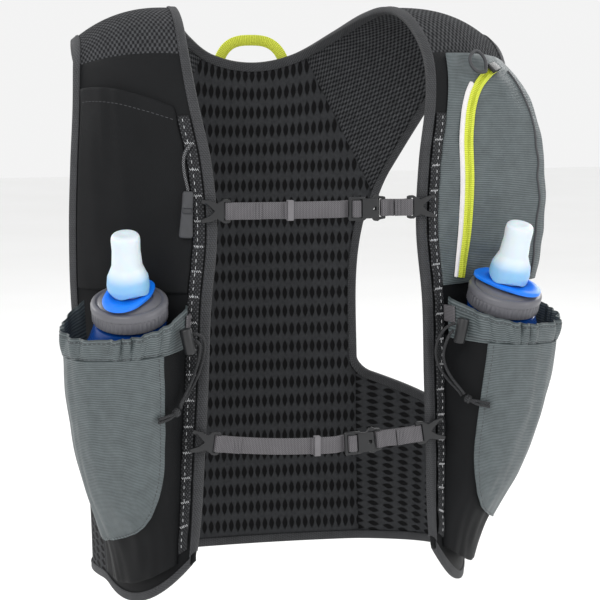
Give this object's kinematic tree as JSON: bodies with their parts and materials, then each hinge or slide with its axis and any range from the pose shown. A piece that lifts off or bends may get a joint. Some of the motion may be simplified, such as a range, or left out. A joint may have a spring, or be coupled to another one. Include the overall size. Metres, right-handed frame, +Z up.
{
  "type": "running hydration vest",
  "caption": "Close-fitting running vest with mesh back, stretch and zipped front pockets, buckled chest straps and soft drinking flasks in the front bottle pockets.",
  "frame": {"origin": "in the vest's middle plane, midway between the tops of the shoulder straps' inner edges, where the straps sit on the shoulders", "axes": "+Z up as worn, the front faces -Y, and +X points to the wearer's left"},
  "size_m": [0.3836, 0.275, 0.4612],
  "materials": {
    "back_mesh": "knitted spacer mesh with rows of oval cells, matt black",
    "strap_mesh": "dark grey knitted mesh with pale flecks",
    "stretch_woven": "smooth matt black stretch woven",
    "ripstop": "grey crinkled ripstop with fine ribs",
    "edge_tape": "dark grey woven binding tape",
    "webbing": "warm grey flat webbing",
    "black_plastic": "black moulded plastic",
    "zip_tape": "yellow-green woven tape",
    "reflective": "pale reflective piping",
    "cord": "black round braided cord",
    "pull_rubber": "dark grey moulded rubber",
    "flask_film": "deep blue flexible film",
    "cap_plastic": "smoky grey translucent plastic",
    "lever_plastic": "bright blue plastic",
    "silicone": "milky translucent silicone"
  },
  "bodies": {
    "vest": {"back_panel": "back_mesh", "side_wing_left": "back_mesh", "side_wing_right": "back_mesh", "shoulder_strap_left": "strap_mesh", "shoulder_strap_right": "strap_mesh", "front_panel_left": "stretch_woven", "front_panel_right": "stretch_woven", "bottle_pocket_left": "stretch_woven", "bottle_pocket_right": "stretch_woven", "chest_pocket": "stretch_woven", "pocket_face_left": "ripstop", "pocket_face_right": "ripstop", "pocket_band_left": "ripstop", "pocket_band_right": "ripstop", "zip_pocket": "ripstop", "neck_tape": "edge_tape", "hem_tape": "edge_tape", "arm_tape_left": "edge_tape", "arm_tape_right": "edge_tape", "daisy_chain_left": "edge_tape", "daisy_chain_right": "edge_tape", "upper_web_left": "webbing", "upper_web_right": "webbing", "upper_keeper": "webbing", "upper_hook_left": "black_plastic", "upper_hook_right": "black_plastic", "upper_buckle_frame": "black_plastic", "upper_buckle_catch": "black_plastic", "lower_web_left": "webbing", "lower_web_right": "webbing", "lower_keeper": "webbing", "lower_hook_left": "black_plastic", "lower_hook_right": "black_plastic", "lower_buckle_frame": "black_plastic", "lower_buckle_catch": "black_plastic", "lock_tab_left": "webbing", "lock_tab_right": "webbing", "zip_tape": "zip_tape", "grab_loop": "zip_tape", "zip_piping": "reflective", "zip_slider": "black_plastic", "cord_lock_left": "black_plastic", "cord_lock_right": "black_plastic", "zip_pull": "pull_rubber", "whistle": "pull_rubber", "whistle_cord": "cord", "draw_cord_a_left": "cord", "draw_cord_a_right": "cord", "draw_cord_b_left": "cord", "draw_cord_b_right": "cord", "cord_knot_left": "cord", "cord_knot_right": "cord", "flask_left": "flask_film", "flask_right": "flask_film", "cap_left": "cap_plastic", "cap_right": "cap_plastic"},
    "bite_valve_left": {"lever_left": "lever_plastic", "valve_left": "silicone"},
    "bite_valve_right": {"lever_right": "lever_plastic", "valve_right": "silicone"}
  },
  "joints": [
    {"name": "shutoff_left", "type": "hinge", "parent": "vest", "child": "bite_valve_left", "pos_m": [0.14259, -0.12492, -0.21118], "axis": [0.0945, -0.312, 0.9454], "range_deg": [0, 90]},
    {"name": "shutoff_right", "type": "hinge", "parent": "vest", "child": "bite_valve_right", "pos_m": [-0.14259, -0.12492, -0.21118], "axis": [-0.0945, -0.312, 0.9454], "range_deg": [0, 90]}
  ]
}
